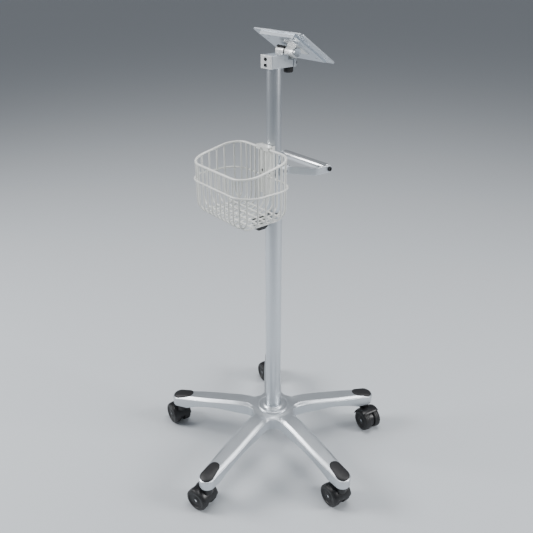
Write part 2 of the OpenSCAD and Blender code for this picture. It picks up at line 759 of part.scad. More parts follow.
star_base();
column_flange();
arm_caps();
stem_sockets();
foot_plug();
base_bolt();
lower_tube();
guide_bush();
clamp_boss();
brake_pad();
clamp_knob();
slide_ring();
upper_tube();
handle_clamp();
clamp_saddle();
clamp_screws();
handle_arm_left();
handle_arm_right();
arm_screws();
grip_tube();
grip_plugs();
grip_screws();
basket_bracket();
basket_rim();
basket_ring();
basket_end_wires();
basket_side_wires();
basket_floor_wires();
head_block();
head_end_plate();
head_screws();
post_cap();
swivel_head();
swivel_knob();
tilt_saddle();
tilt_axle();
tilt_lever();
inner_plate();
outer_plate();
plate_screws();
caster_frame(1) caster_hood();  // caster_1_hood
caster_frame(1) caster_pins();  // caster_1_pins
wheel_place(1, 1);  // caster_1_wheel_left
wheel_place(1, -1);  // caster_1_wheel_right
caster_frame(2) caster_hood();  // caster_2_hood
caster_frame(2) caster_pins();  // caster_2_pins
wheel_place(2, 1);  // caster_2_wheel_left
wheel_place(2, -1);  // caster_2_wheel_right
caster_frame(3) caster_hood();  // caster_3_hood
caster_frame(3) caster_pins();  // caster_3_pins
wheel_place(3, 1);  // caster_3_wheel_left
wheel_place(3, -1);  // caster_3_wheel_right
caster_frame(4) caster_hood();  // caster_4_hood
caster_frame(4) caster_pins();  // caster_4_pins
wheel_place(4, 1);  // caster_4_wheel_left
wheel_place(4, -1);  // caster_4_wheel_right
caster_frame(5) caster_hood();  // caster_5_hood
caster_frame(5) caster_pins();  // caster_5_pins
wheel_place(5, 1);  // caster_5_wheel_left
wheel_place(5, -1);  // caster_5_wheel_right
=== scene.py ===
import json
import math

import bmesh
import bpy
import numpy as np
from mathutils import Matrix, Vector


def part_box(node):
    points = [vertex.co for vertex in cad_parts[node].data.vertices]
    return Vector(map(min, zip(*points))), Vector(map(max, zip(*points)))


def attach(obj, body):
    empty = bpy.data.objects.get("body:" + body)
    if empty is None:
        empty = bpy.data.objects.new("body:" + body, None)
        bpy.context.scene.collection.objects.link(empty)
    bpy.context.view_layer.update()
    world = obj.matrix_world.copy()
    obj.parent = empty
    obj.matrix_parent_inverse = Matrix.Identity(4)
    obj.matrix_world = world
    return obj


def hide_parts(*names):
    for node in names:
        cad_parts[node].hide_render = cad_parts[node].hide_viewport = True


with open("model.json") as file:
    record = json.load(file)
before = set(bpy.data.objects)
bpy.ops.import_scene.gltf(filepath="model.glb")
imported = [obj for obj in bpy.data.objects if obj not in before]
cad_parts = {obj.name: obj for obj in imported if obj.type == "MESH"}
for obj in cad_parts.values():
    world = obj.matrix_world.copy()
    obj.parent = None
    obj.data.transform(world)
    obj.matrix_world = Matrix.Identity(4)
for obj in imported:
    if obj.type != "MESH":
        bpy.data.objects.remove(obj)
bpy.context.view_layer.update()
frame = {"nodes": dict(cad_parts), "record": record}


# ---------- camera, floor and studio light ----------
# The stand is seen from chest height, 1.2 m above the floor and about 1.3 m away along it.
# The floor is a pale matt sheet, and three large soft boxes light it from the sides and above.
eye = Vector((0.9897, -0.8211, 1.2040))
sight = Vector((-0.6924, 0.5595, -0.4555)).normalized()
level = sight.cross(Vector((0, 0, 1))).normalized()
lean = -0.00337
right = (level * math.cos(lean) + level.cross(sight) * math.sin(lean)).normalized()
lens = bpy.data.cameras.new("camera")
lens.sensor_width = 36.0
lens.lens = 41.43
lens.clip_end = 200.0
camera = bpy.data.objects.new("camera", lens)
turn = Matrix((right, right.cross(sight), -sight)).transposed()
camera.matrix_world = Matrix.Translation(eye) @ turn.to_4x4()
bpy.context.scene.collection.objects.link(camera)
bpy.context.scene.camera = camera

floor_mesh = bpy.data.meshes.new("floor")
floor_half = 40.0
floor_mesh.from_pydata(
    [(-floor_half, -floor_half, 0), (floor_half, -floor_half, 0),
     (floor_half, floor_half, 0), (-floor_half, floor_half, 0)],
    [], [(0, 1, 2, 3)])
floor = bpy.data.objects.new("floor", floor_mesh)
bpy.context.scene.collection.objects.link(floor)
floor_paint = bpy.data.materials.new("floor_sheet")
floor_paint.use_nodes = True
floor_shader = floor_paint.node_tree.nodes["Principled BSDF"]
floor_shader.inputs["Base Color"].default_value = (0.56, 0.59, 0.62, 1)
floor_shader.inputs["Roughness"].default_value = 0.75
floor_mesh.materials.append(floor_paint)


def soft_box(name, place, aim, size, watts):
    """A square area light at place, facing aim."""
    light = bpy.data.lights.new(name, "AREA")
    light.shape = "SQUARE"
    light.size = size
    light.energy = watts
    lamp = bpy.data.objects.new(name, light)
    direction = Vector(aim) - Vector(place)
    facing = direction.to_track_quat("-Z", "Y").to_matrix().to_4x4()
    lamp.matrix_world = Matrix.Translation(place) @ facing
    bpy.context.scene.collection.objects.link(lamp)


soft_box("box_left", (-1.6, -2.0, 2.1), (0, 0, 0.5), 1.1, 85)
soft_box("box_right", (2.3, 1.6, 1.9), (0, 0, 0.5), 1.0, 70)
soft_box("box_top", (0.2, 0.2, 3.2), (0, 0, 0.3), 1.6, 62)
room = bpy.data.worlds.new("room")
room.use_nodes = True
room.node_tree.nodes["Background"].inputs["Color"].default_value = (0.80, 0.84, 0.90, 1)
room.node_tree.nodes["Background"].inputs["Strength"].default_value = 0.30
bpy.context.scene.world = room


# ---------- star casting ----------
# The foot is one aluminium casting with five arms, sprayed silver. Its arms are bevelled bars
# that arch from the hub down to round ends, and fillets join each arm to the next.
MM = 0.001
arm_count = 5
star_turn = math.radians(-2.6)
stem_circle = 272.0
hub_hole = 20.0
arm_half = 23.0
end_radius = 19.95
fillet_centre = (64.8, 47.1)
fillet_radius = 24.1
bevel_wide = 8.5
bevel_deep = 7.0
crown_radius = [hub_hole, 40, 52, 70, 90, 130, 190, 240, 296]
crown_height = [134.0, 134.0, 131.6, 134.6, 134.2, 129.2, 120.2, 112.6, 104.8]


def curve_through(xs, ys, x):
    """Smooth height at x: cubic pieces between the points, with slopes taken from their neighbours."""
    xs, ys, x = (np.asarray(v, float) for v in (xs, ys, x))
    slopes = np.gradient(ys, xs)
    i = np.clip(np.searchsorted(xs, x) - 1, 0, len(xs) - 2)
    span = xs[i + 1] - xs[i]
    t = np.clip((x - xs[i]) / span, 0, 1)
    keep = (1 + 2 * t) * (1 - t) ** 2
    return (ys[i] * keep + ys[i + 1] * (1 - keep)
            + span * (slopes[i] * t * (1 - t) ** 2 - slopes[i + 1] * t * t * (1 - t)))


def smooth_step(low, high, x):
    """0 below low, 1 above high, and 3t^2 - 2t^3 in between."""
    t = np.clip((np.asarray(x, float) - low) / (high - low), 0, 1)
    return t * t * (3 - 2 * t)


def crown(x, y):
    """Height of an arm's top along its middle, as a function of the distance from the column."""
    return curve_through(crown_radius, crown_height, np.hypot(x, y))


def bevel_drop(edge_distance, depth):
    """How far the top falls near an edge: a straight bevel whose crease is rounded by a square root."""
    over = bevel_wide - edge_distance
    return depth / bevel_wide * 0.5 * (over + np.sqrt(over * over + 0.7))


def grid_faces(rows, columns, round_columns=False):
    """Four-sided faces of a grid of rows by columns, numbered row by row."""
    last = columns if round_columns else columns - 1
    r, c = np.meshgrid(np.arange(rows - 1), np.arange(last), indexing="ij")
    after = (c + 1) % columns
    return np.stack([r * columns + c, r * columns + after,
                     (r + 1) * columns + after, (r + 1) * columns + c], -1).reshape(-1, 4)


def make_piece(name, shells, body, material, replaced=(), bevel=0.0, crease=32):
    """One object from shells of (points in mm, faces). Doubled points are merged, so seams and poles close,
    the faces are turned outwards, and edges sharper than crease degrees stay sharp."""
    points, faces, start = [], [], 0
    for shell_points, shell_faces in shells:
        points.append(np.asarray(shell_points, float).reshape(-1, 3) * MM)
        faces += [tuple(int(k) + start for k in face) for face in shell_faces]
        start += len(points[-1])
    mesh = bpy.data.meshes.new(name)
    mesh.from_pydata(np.vstack(points).tolist(), [], faces)
    shape = bmesh.new()
    shape.from_mesh(mesh)
    bmesh.ops.remove_doubles(shape, verts=shape.verts, dist=0.000004)
    bmesh.ops.dissolve_degenerate(shape, edges=shape.edges, dist=0.000001)
    bmesh.ops.recalc_face_normals(shape, faces=shape.faces)
    shape.to_mesh(mesh)
    shape.free()
    mesh.shade_smooth()
    mesh.set_sharp_from_angle(angle=math.radians(crease))
    mesh.materials.append(material)
    made = bpy.data.objects.new(name, mesh)
    bpy.context.scene.collection.objects.link(made)
    if bevel:
        edge = made.modifiers.new("edges", "BEVEL")
        edge.width = bevel * MM
        edge.segments = 3
        edge.limit_method = "ANGLE"
        edge.angle_limit = math.radians(40)
        edge.harden_normals = True
    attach(made, body)
    if replaced:
        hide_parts(*replaced)
    return made


def turned_about_z(points, angle, centre=(0.0, 0.0)):
    """The points turned by angle about the upright line through centre."""
    c, s = math.cos(angle), math.sin(angle)
    out = np.array(points, float)
    x, y = out[..., 0] - centre[0], out[..., 1] - centre[1]
    out[..., 0], out[..., 1] = centre[0] + c * x - s * y, centre[1] + s * x + c * y
    return out


class Field:
    """A value over a surface: an output socket of one material. Arithmetic on it adds Math nodes."""

    def __init__(self, tree, socket=None):
        self.tree = tree
        self.socket = socket

    def node(self, kind, settings=None, inputs=None, output=0):
        """Adds a node of that kind with its settings, and with values or links on its inputs."""
        made = self.tree.nodes.new(kind)
        for key, value in (settings or {}).items():
            if key == "stops":
                ramp = made.color_ramp
                while len(ramp.elements) < len(value):
                    ramp.elements.new(0.5)
                for element, (place, colour) in zip(ramp.elements, value):
                    element.position = place
                    element.color = colour
            else:
                setattr(made, key, value)
        for key, value in (inputs or {}).items():
            if isinstance(value, Field):
                self.tree.links.new(value.socket, made.inputs[key])
            else:
                made.inputs[key].default_value = value
        return Field(self.tree, made.outputs[output] if made.outputs else None)

    def _math(self, operation, *terms):
        return self.node("ShaderNodeMath", {"operation": operation}, dict(enumerate(terms)))

    def __add__(self, other):
        return self._math("ADD", self, other)

    __radd__ = __add__

    def __sub__(self, other):
        return self._math("SUBTRACT", self, other)

    def __rsub__(self, other):
        return self._math("SUBTRACT", other, self)

    def __mul__(self, other):
        return self._math("MULTIPLY", self, other)

    __rmul__ = __mul__

    def blend(self, low, high):
        """Colour that runs from low, where this field is 0, to high, where it is 1."""
        return self.node("ShaderNodeMix", {"data_type": "RGBA"},
                         {0: self, 6: (*low, 1), 7: (*high, 1)}, output=2)


def finish(name, low, high, metallic, roughness, spread, grain, depth,
           stretch=(1, 1, 1), coat=0.0, specks=0.0):
    """A coated or moulded finish. Slow clouds and a fine texture together drift the colour from low to
    high and the roughness by spread. Grain is the fine texture's scale, depth its bump in metres, and a
    stretch under 1 draws it out along that axis. Specks adds the flakes of a metallic paint."""
    material = bpy.data.materials.new(name)
    material.use_nodes = True
    tree = material.node_tree
    tree.nodes.clear()
    start = Field(tree)
    place = start.node("ShaderNodeTexCoord", output="Object")
    drawn = start.node("ShaderNodeMapping", None, {"Vector": place, "Scale": stretch})
    clouds = start.node("ShaderNodeTexNoise", None,
                        {"Vector": place, "Scale": 14.0, "Detail": 3.0, "Roughness": 0.55})
    fine = start.node("ShaderNodeTexNoise", None,
                      {"Vector": drawn, "Scale": grain, "Detail": 4.0, "Roughness": 0.62})
    tone = clouds * 0.55 + fine * 0.45
    if specks:
        flakes = start.node("ShaderNodeTexVoronoi", None,
                            {"Vector": drawn, "Scale": grain * 1.7}, output="Color")
        flake = start.node("ShaderNodeSeparateColor", None, {"Color": flakes})
        tone = tone + (flake - 0.5) * specks
    shader = start.node("ShaderNodeBsdfPrincipled", None, {
        "Base Color": tone.blend(low, high),
        "Metallic": metallic,
        "Roughness": roughness + (clouds - 0.5) * spread + (fine - 0.5) * spread,
        "Coat Weight": coat,
        "Coat Roughness": 0.22,
        "Normal": start.node("ShaderNodeBump", None, {"Strength": 0.55, "Distance": depth, "Height": fine}),
    })
    start.node("ShaderNodeOutputMaterial", None, {"Surface": shader})
    return material


silver_paint = finish("silver_paint", (0.50, 0.54, 0.58), (0.74, 0.77, 0.80), 0.82, 0.36, 0.12, 900,
                      0.00012, coat=0.35, specks=0.25)


def star_sector():
    """One fifth of the casting from an arm's middle line to its side and round to the next gap. Each column
    is a cross-section: in from the middle, over the bevel, down the side and back under a hollow top."""
    bend = np.radians(np.linspace(0, 90, 22))
    end_x, end_y = stem_circle + end_radius * np.cos(bend), end_radius * np.sin(bend)
    side_x = np.linspace(stem_circle, fillet_centre[0], 62)[1:-1]
    side_y = arm_half - (arm_half - end_radius) * smooth_step(170, stem_circle, side_x)
    sweep = np.radians(np.linspace(-90, -144, 26))
    gap_x = fillet_centre[0] + fillet_radius * np.cos(sweep)
    gap_y = fillet_centre[1] + fillet_radius * np.sin(sweep)
    outer = np.stack([np.r_[end_x, side_x, gap_x], np.r_[end_y, side_y, gap_y]], -1)
    inward = np.clip(np.linspace(0, 2, len(gap_x)), 0, 1)
    around = np.radians(36) * np.clip(np.linspace(-1, 1, len(gap_x)), 0, 1)
    reach = fillet_centre[0] + (hub_hole - fillet_centre[0]) * inward
    middle_x = np.r_[np.full(len(end_x), stem_circle), side_x, reach * np.cos(around)]
    middle_y = np.r_[np.zeros(len(end_x) + len(side_x)), reach * np.sin(around)]
    middle = np.stack([middle_x, middle_y], -1)
    width = np.linalg.norm(outer - middle, axis=1)
    inside = (middle - outer) / width[:, None]
    in_gap = np.r_[np.zeros(len(end_x) + len(side_x)), np.linspace(0, 1, len(gap_x))]
    depth = bevel_deep - (bevel_deep - 2.0) * smooth_step(0.0, 0.7, in_gap)
    at_tip = np.r_[np.ones(len(end_x)), np.zeros(len(side_x) + len(gap_x))]

    far = np.array([1.0, 0.8, 0.6, 0.4, 0.2, 0.0])[:, None] * (width - 12) + 12
    near = np.array([10.5, 9.5, 8.9, 8.5, 8.1, 7.5, 6, 4.5, 3, 1.4])[:, None] * np.ones_like(width)
    inset = np.vstack([far, near])
    place = outer + inside * inset[..., None]
    top = crown(place[..., 0], place[..., 1]) - bevel_drop(inset, depth)
    edge = top[-1]
    out_radius = np.hypot(*outer.T)
    arch = -146 + np.sqrt(np.maximum(246.0 ** 2 - (out_radius - 140) ** 2, 1))
    bottom = np.where(out_radius > 140, np.maximum(arch, 76.5), 100.0)
    hollow = smooth_step(62, 70, np.hypot(*middle.T)) * (1 - smooth_step(226, 244, out_radius))
    hollow = hollow * (1 - at_tip)
    ceiling = bottom + (crown(*middle.T) - 8 - bottom) * hollow
    turn_out = np.radians([25, 50, 75, 90])[:, None]
    rows = [np.dstack([place, top])]
    for inset_row, height in zip(1.4 * (1 - np.sin(turn_out)), edge - 1.4 * (1 - np.cos(turn_out))):
        rows.append(np.dstack([(outer + inside * inset_row)[None], height[None]]))
    for inset_row, height in [(0.0, bottom + 1.2), (0.35, bottom + 0.35), (1.2, bottom), (4.4, bottom),
                              (4.8, bottom + 0.5 * hollow), (7.0, ceiling - 4 * hollow), (9.0, ceiling)]:
        rows.append(np.dstack([(outer + inside * inset_row)[None], height[None]]))
    rows.append(np.dstack([middle[None], ceiling[None]]))
    sheet = np.vstack(rows)
    faces = grid_faces(*sheet.shape[:2])
    rim = np.arange(len(width) - np.count_nonzero(around > 0) - 1, len(width) - 1)
    under = (sheet.shape[0] - 1) * sheet.shape[1]
    wall = np.stack([rim, rim + 1, under + rim + 1, under + rim], -1)
    return sheet.reshape(-1, 3), np.vstack([faces, wall])


sector_points, sector_faces = star_sector()
star_shells = []
for arm in range(arm_count):
    for flip in (1, -1):
        turned = turned_about_z(sector_points * (1, flip, 1), star_turn + arm * math.tau / arm_count)
        star_shells.append((turned, sector_faces))
make_piece("star_casting", star_shells, "base", silver_paint, ["star_base"], crease=38)


# ---------- arm end caps ----------
# Black moulded caps plug the open top of each arm over its caster stem. Each is a long
# crowned oval with a soft rim, and its fine grain is moulded in.
black_plastic = finish("black_plastic", (0.006, 0.006, 0.007), (0.015, 0.015, 0.017), 0.0, 0.52, 0.12,
                       1500, 0.00010)
cap_far_radius = 17.6
cap_near_radius = 14.2
cap_near_inset = 25.0
cap_proud = 2.9
cap_skirt = 5.0


def cap_shell():
    """An oval with a big and a small round end. Its rise from rim to middle is 1 less q to the power 2.6,
    all to the power 0.55, with q from 0 in the middle to 1 at the rim. A skirt drops into the arm."""
    angle = np.linspace(0, math.tau, 97)[:-1]
    far_end = np.cos(angle) > 0
    radius = np.where(far_end, cap_far_radius, cap_near_radius)
    end_centre = np.where(far_end, stem_circle - 0.4, stem_circle - cap_near_inset)
    oval = np.stack([end_centre + radius * np.cos(angle), radius * np.sin(angle)], -1)
    centre = np.array([stem_circle - 12.0, 0.0])
    q = np.array([0.0, 0.15, 0.3, 0.45, 0.6, 0.72, 0.82, 0.9, 0.95, 0.98, 1.0])
    plan = centre + (oval - centre) * q[:, None, None]
    from_edge = np.where(far_end, end_radius - cap_far_radius, arm_half - 15.5)
    rim = crown(*oval.T) - bevel_drop(from_edge, bevel_deep) + 1.6
    middle = crown(*plan.transpose(2, 0, 1)) + cap_proud
    lift = (1 - q[:, None] ** 2.6) ** 0.55
    top = rim + (middle - rim) * lift
    top = np.minimum(top, middle)
    upper = np.dstack([plan, top])
    skirt = np.dstack([plan[-1:], (rim - cap_skirt)[None]])
    base = np.dstack([np.broadcast_to(centre, (1, len(angle), 2)),
                      np.full((1, len(angle)), rim.min() - cap_skirt)])
    sheet = np.vstack([upper, skirt, base])
    return sheet.reshape(-1, 3), grid_faces(*sheet.shape[:2], round_columns=True)


cap_points, cap_faces = cap_shell()
make_piece("end_caps", [(turned_about_z(cap_points, star_turn + i * math.tau / arm_count), cap_faces)
                        for i in range(arm_count)],
           "base", black_plastic, ["arm_caps"], crease=50)


# ---------- column ----------
# Two drawn aluminium tubes, clear anodised to a satin silver, slide in each other. The lower one
# stands in the casting under a turned cover ring, and a black bush closes its top.
anodised = finish("anodised_aluminium", (0.60, 0.64, 0.68), (0.72, 0.75, 0.78), 0.9, 0.30, 0.08, 420,
                  0.00006, stretch=(1, 1, 0.02))


def rounded(corners, radius, steps=5):
    """The corners of an open line, each replaced by a curve that starts and ends radius away from it."""
    corners = np.asarray(corners, float)
    out = [corners[:1]]
    t = np.linspace(0, 1, steps)[:, None]
    for before, corner, after in zip(corners[:-2], corners[1:-1], corners[2:]):
        legs = [p - corner for p in (before, after)]
        long = [max(np.linalg.norm(leg), 1e-9) for leg in legs]
        cut = [leg / size * min(radius, size * 0.45) for leg, size in zip(legs, long)]
        out.append((corner + cut[0]) * (1 - t) ** 2 + corner * 2 * t * (1 - t) + (corner + cut[1]) * t * t)
    out.append(corners[-1:])
    return np.vstack(out)


def lathe(profile, centre, axis=(0, 0, 1), sides=96, ripple=None):
    """Surface of revolution: each (radius, height) of the profile goes round the axis through centre.
    Ripple gives the factor on the radius for an angle and a height."""
    axis = np.asarray(axis, float) / np.linalg.norm(axis)
    across = np.cross(axis, (0, 1, 0) if abs(axis[1]) < 0.9 else (1, 0, 0))
    across /= np.linalg.norm(across)
    third = np.cross(axis, across)
    profile = np.asarray(profile, float)
    angle = np.linspace(0, math.tau, sides + 1)[:-1]
    radius = profile[:, :1] * np.ones(sides)
    if ripple:
        radius = radius * ripple(angle[None, :], profile[:, 1:2])
    points = (np.asarray(centre, float) + axis * profile[:, 1, None, None]
              + radius[..., None] * (across * np.cos(angle)[:, None] + third * np.sin(angle)[:, None]))
    return points.reshape(-1, 3), grid_faces(len(profile), sides, round_columns=True)


def pipe_profile(outer, inner, low, high, edge=0.5):
    """Profile of a tube that closes on itself: up the outside, over the top and down the bore."""
    return rounded([(inner, low), (outer, low), (outer, high), (inner, high), (inner, low)], edge)


lower_box = [np.array(c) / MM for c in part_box("lower_tube")]
upper_box = [np.array(c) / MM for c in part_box("upper_tube")]
lower_radius = lower_box[1][0]
upper_radius = 16.0
tube_wall = 2.0
origin = (0.0, 0.0, 0.0)
lower_profile = pipe_profile(lower_radius, lower_radius - tube_wall, lower_box[0][2], lower_box[1][2])
make_piece("column_lower", [lathe(lower_profile, origin)],
           "base", anodised, ["lower_tube"])
upper_profile = pipe_profile(upper_radius, upper_radius - tube_wall, upper_box[0][2], upper_box[1][2])
make_piece("column_upper", [lathe(upper_profile, origin)],
           "mast", anodised, ["upper_tube"])
hub_top = crown_height[0]
ring_bore = lower_radius + 0.1
ring_outline = [(ring_bore, hub_top - 1), (39.5, hub_top - 1), (39.8, hub_top + 2.2),
                (36.5, hub_top + 4.6), (32.5, hub_top + 3.4), (27.5, hub_top + 3.9),
                (23.6, hub_top + 7.6), (ring_bore, hub_top + 7.8), (ring_bore, hub_top - 1)]
make_piece("cover_ring", [lathe(rounded(ring_outline, 1.1), origin)],
           "base", silver_paint, ["column_flange"])
bush_box = [np.array(c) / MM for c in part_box("guide_bush")]
bush_bore = upper_radius + 0.05
bush_low, bush_high = bush_box[0][2], bush_box[1][2]
bush_outline = [(bush_bore, bush_low), (lower_radius - tube_wall, bush_low),
                (lower_radius - tube_wall, lower_box[1][2]), (lower_radius, lower_box[1][2]),
                (lower_radius, bush_high), (bush_bore, bush_high), (bush_bore, bush_low)]
make_piece("top_bush", [lathe(rounded(bush_outline, 0.4), origin)],
           "base", black_plastic, ["guide_bush"])

# ---------- column clamp knob ----------
# A black hand knob on a threaded stud pushes a pad against the upper tube. It is moulded
# with eight finger flutes and a shallow dish in its face.
knob_box = [np.array(c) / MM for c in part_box("clamp_knob")]
clamp_height = (knob_box[0][2] + knob_box[1][2]) / 2
knob_face = knob_box[0][1]
knob_deep = 22.0


def flutes(count, share):
    """Ripple that pulls the radius in by share at count places round a knob, with ridges between."""
    return lambda angle, height: 1 - share * (0.5 + 0.5 * np.cos(count * angle)) ** 3


knob_profile = rounded([(0, 1.5), (8, 1.5), (9.5, 0), (15.5, 0), (17, 1.8), (17, 19.5),
                        (14.5, knob_deep), (9, knob_deep), (0, knob_deep)], 1.2)
stud_profile = [(0, 21), (4, 21), (4, 30.7), (0, 30.7)]
knob_place = (0, knob_face, clamp_height)
make_piece("column_knob", [lathe(knob_profile, knob_place, (0, 1, 0), 128, flutes(8, 0.11)),
                           lathe(stud_profile, knob_place, (0, 1, 0), 32)],
           "column_knob", black_plastic, ["clamp_knob"], crease=45)


# ---------- casters ----------
# Five twin-wheel casters stand on steel stems in the arm ends. A glossy black nylon hood arches
# over two moulded wheels, whose treads carry shallow grooves.
caster_plastic = finish("caster_plastic", (0.005, 0.005, 0.006), (0.012, 0.012, 0.014), 0.0, 0.36, 0.10,
                        700, 0.00004)
caster_wheel = finish("caster_wheel", (0.006, 0.006, 0.007), (0.016, 0.016, 0.017), 0.0, 0.48, 0.14,
                      1100, 0.00010)
bright_steel = finish("bright_steel", (0.70, 0.72, 0.74), (0.82, 0.84, 0.86), 0.95, 0.26, 0.06,
                      600, 0.00001)
trail_angles = [175, -10, 168, 174, 195]
wheel_radius = 29.0
caster_trail = 21.0
web_half = 6.0
wheel_gap = 0.4
wheel_wide = 18.6
axle_bore = 4.05


def caster_hood_shells():
    """A canopy whose cross-section is a flattened arch, carried round the axle from above the wheels to
    the stem side, with the web disc between the wheels and the boss round the stem."""
    u = np.linspace(-1, 1, 33)
    outer = 33.9 - 2.6 * np.abs(u) ** 5
    half = 24.6
    ring_r = np.r_[outer, [outer[-1] - 1.0], np.full(33, 30.9), [outer[0] - 1.0]]
    ring_y = np.r_[half * u, [half], half * u[::-1], [-half]]
    sweep = np.radians(np.linspace(64, 171, 54))[:, None]
    taper = 1 - 0.06 * np.exp(-((sweep - sweep.min()) / 0.10))
    x = caster_trail + ring_r * taper * np.cos(sweep)
    z = wheel_radius + ring_r * taper * np.sin(sweep)
    canopy = np.dstack([x, ring_y + 0 * x, z])
    faces = [tuple(f) for f in grid_faces(*canopy.shape[:2], round_columns=True)]
    count = canopy.shape[1]
    last = (canopy.shape[0] - 1) * count
    faces += [tuple(range(count)), tuple(range(last, last + count))]
    web = lathe(rounded([(0, -web_half), (24, -web_half), (24, web_half), (0, web_half)], 1.2),
                (caster_trail, 0, wheel_radius), (0, 1, 0), 64)
    boss = lathe(rounded([(0, 54), (12.6, 54), (11.4, 62), (10.8, 73.8), (0, 73.8)], 1.4), origin, sides=56)
    return [(canopy.reshape(-1, 3), faces), web, boss]


def wheel_shell(side):
    """A wheel turned about its axle: boss, dished face, rounded shoulder, and a tread with two grooves."""
    w, r = wheel_wide, wheel_radius
    groove = r - 0.9
    outline = [(axle_bore, 0), (r - 3, 0), (r - 0.5, 1.4), (r, 3.2),
               (r, 6.0), (groove, 6.5), (groove, 7.1), (r, 7.6),
               (r, 11.0), (groove, 11.5), (groove, 12.1), (r, 12.6),
               (r - 0.5, 15.6), (r - 3.0, w - 0.6), (r - 6.0, w), (r - 8.0, w - 0.4), (r - 9.4, w - 2.4),
               (12, w - 3.2), (9.6, w - 1.6), (8.4, w - 0.9), (axle_bore, w - 0.9), (axle_bore, 0)]
    inner_face = (caster_trail, side * (web_half + wheel_gap), wheel_radius)
    return lathe(rounded(outline, 0.55, 4), inner_face, (0, side, 0), 96)


hood_shells = caster_hood_shells()
for i in range(arm_count):
    arm_angle = star_turn + i * math.tau / arm_count
    stem = np.array([stem_circle * math.cos(arm_angle), stem_circle * math.sin(arm_angle), 0.0])
    trail = math.radians(trail_angles[i])
    body = f"caster_{i + 1}"
    make_piece(f"hood_{i + 1}", [(turned_about_z(p, trail) + stem, f) for p, f in hood_shells],
               body, caster_plastic, [f"{body}_hood"], crease=40)
    for side, word in ((1, "left"), (-1, "right")):
        points, faces = wheel_shell(side)
        make_piece(f"wheel_{i + 1}_{word}", [(turned_about_z(points, trail) + stem, faces)],
                   f"{body}_{word}", caster_wheel, [f"{body}_wheel_{word}"], crease=30)


# ---------- basket ----------
# Welded from steel wire and powder coated pale grey: U-shaped wires run both ways under a
# sloping rim and a level ring, and it hangs by its rim from a folded bracket.
wire_coating = finish("wire_coating", (0.66, 0.67, 0.64), (0.78, 0.79, 0.76), 0.05, 0.34, 0.10, 1300,
                      0.00007, coat=0.3)
basket_hx = 98.0
basket_hy = 63.5
basket_back = 28.0
basket_centre = -basket_back - basket_hy
basket_corner = 40.0
rim_back = 836.0
rim_front = 811.0
ring_height = 775.0
floor_height = 701.0
wire_radius = 2.0
rim_radius = 2.5
weld = 0.1
wire_bend = 24.0
rim_slope = (rim_back - rim_front) / (2 * basket_hy)


def swept(path, upright, radius, sides=12, closed=False):
    """A round rod along a path in one plane, whose normal is upright. Its ends close to a point."""
    path = np.asarray(path, float)
    along = np.roll(path, -1, 0) - np.roll(path, 1, 0) if closed else np.gradient(path, axis=0)
    along /= np.linalg.norm(along, axis=1)[:, None]
    upright = np.asarray(upright, float) / np.linalg.norm(upright)
    beside = np.cross(upright, along)
    angle = np.linspace(0, math.tau, sides + 1)[:-1]
    around = beside[:, None] * np.cos(angle)[:, None] + upright * np.sin(angle)[:, None]
    ring = path[:, None] + radius * around
    if closed:
        ring = np.concatenate([ring, ring[:1]])
    else:
        ends = [np.repeat(path[end, None, None], sides, 1) for end in (0, -1)]
        ring = np.concatenate([ends[0], ring, ends[1]])
    return ring.reshape(-1, 3), grid_faces(ring.shape[0], sides, round_columns=True)


def rounded_frame(hx, hy, corner, steps=14):
    """Plan of a rectangle with round corners, as one closed line."""
    bend = np.linspace(0, math.pi / 2, steps)
    line = []
    for k, (sx, sy) in enumerate([(1, 1), (-1, 1), (-1, -1), (1, -1)]):
        a = bend + k * math.pi / 2
        centre = np.array([sx * (hx - corner), sy * (hy - corner)])
        line.append(centre + corner * np.stack([np.cos(a), np.sin(a)], -1))
    return np.vstack(line)


def reach(half, other_half, offset):
    """Half width of the basket's rounded plan at an offset from its middle line."""
    over = np.maximum(abs(offset) - (other_half - basket_corner), 0)
    return half - basket_corner + math.sqrt(basket_corner ** 2 - over ** 2)


def wire_line(half, low, top_a, top_b):
    """A U in its own plane: down one wall, round a bend, across the floor and up the other wall."""
    bend = np.radians(np.linspace(0, 90, 9))
    left = np.stack([-half + wire_bend - wire_bend * np.cos(bend),
                     low + wire_bend - wire_bend * np.sin(bend)], -1)
    rightward = left[::-1] * (-1, 1)
    return np.vstack([[(-half, top_a)], left, rightward, [(half, top_b)]])


def rim_at(y):
    """Height of the rim's middle at a place from back to front."""
    return rim_back - (-basket_back - y) * rim_slope


long_wires, cross_wires = [], []
for x in (np.arange(11) - 5) * 15.0:
    half = reach(basket_hy, basket_hx, x)
    flat = wire_line(half, floor_height, rim_at(basket_centre - half), rim_at(basket_centre + half))
    line = np.stack([np.full(len(flat), x), basket_centre + flat[:, 0], flat[:, 1]], -1)
    long_wires.append(swept(line, (1, 0, 0), wire_radius))
for y in (np.arange(6) - 2.5) * 20.0:
    half = reach(basket_hx, basket_hy, y)
    top = rim_at(basket_centre + y)
    flat = wire_line(half, floor_height + 2 * wire_radius - weld, top, top)
    line = np.stack([flat[:, 0], np.full(len(flat), basket_centre + y), flat[:, 1]], -1)
    cross_wires.append(swept(line, (0, 1, 0), wire_radius))
make_piece("basket_wires_long", long_wires, "mast", wire_coating,
           ["basket_end_wires"], crease=60)
make_piece("basket_wires_cross", cross_wires, "mast", wire_coating,
           ["basket_side_wires", "basket_floor_wires"], crease=60)
rim_plan = rounded_frame(basket_hx, basket_hy, basket_corner)
rim_y = rim_plan[:, 1] + basket_centre
rim_line = np.column_stack([rim_plan[:, 0], rim_y, rim_at(rim_y)])
make_piece("basket_top_rim", [swept(rim_line, (0, -rim_slope, 1), rim_radius, 16, closed=True)],
           "mast", wire_coating, ["basket_rim"], crease=60)
ring_out = 2 * wire_radius - 0.2
ring_plan = rounded_frame(basket_hx + ring_out, basket_hy + ring_out, basket_corner + ring_out)
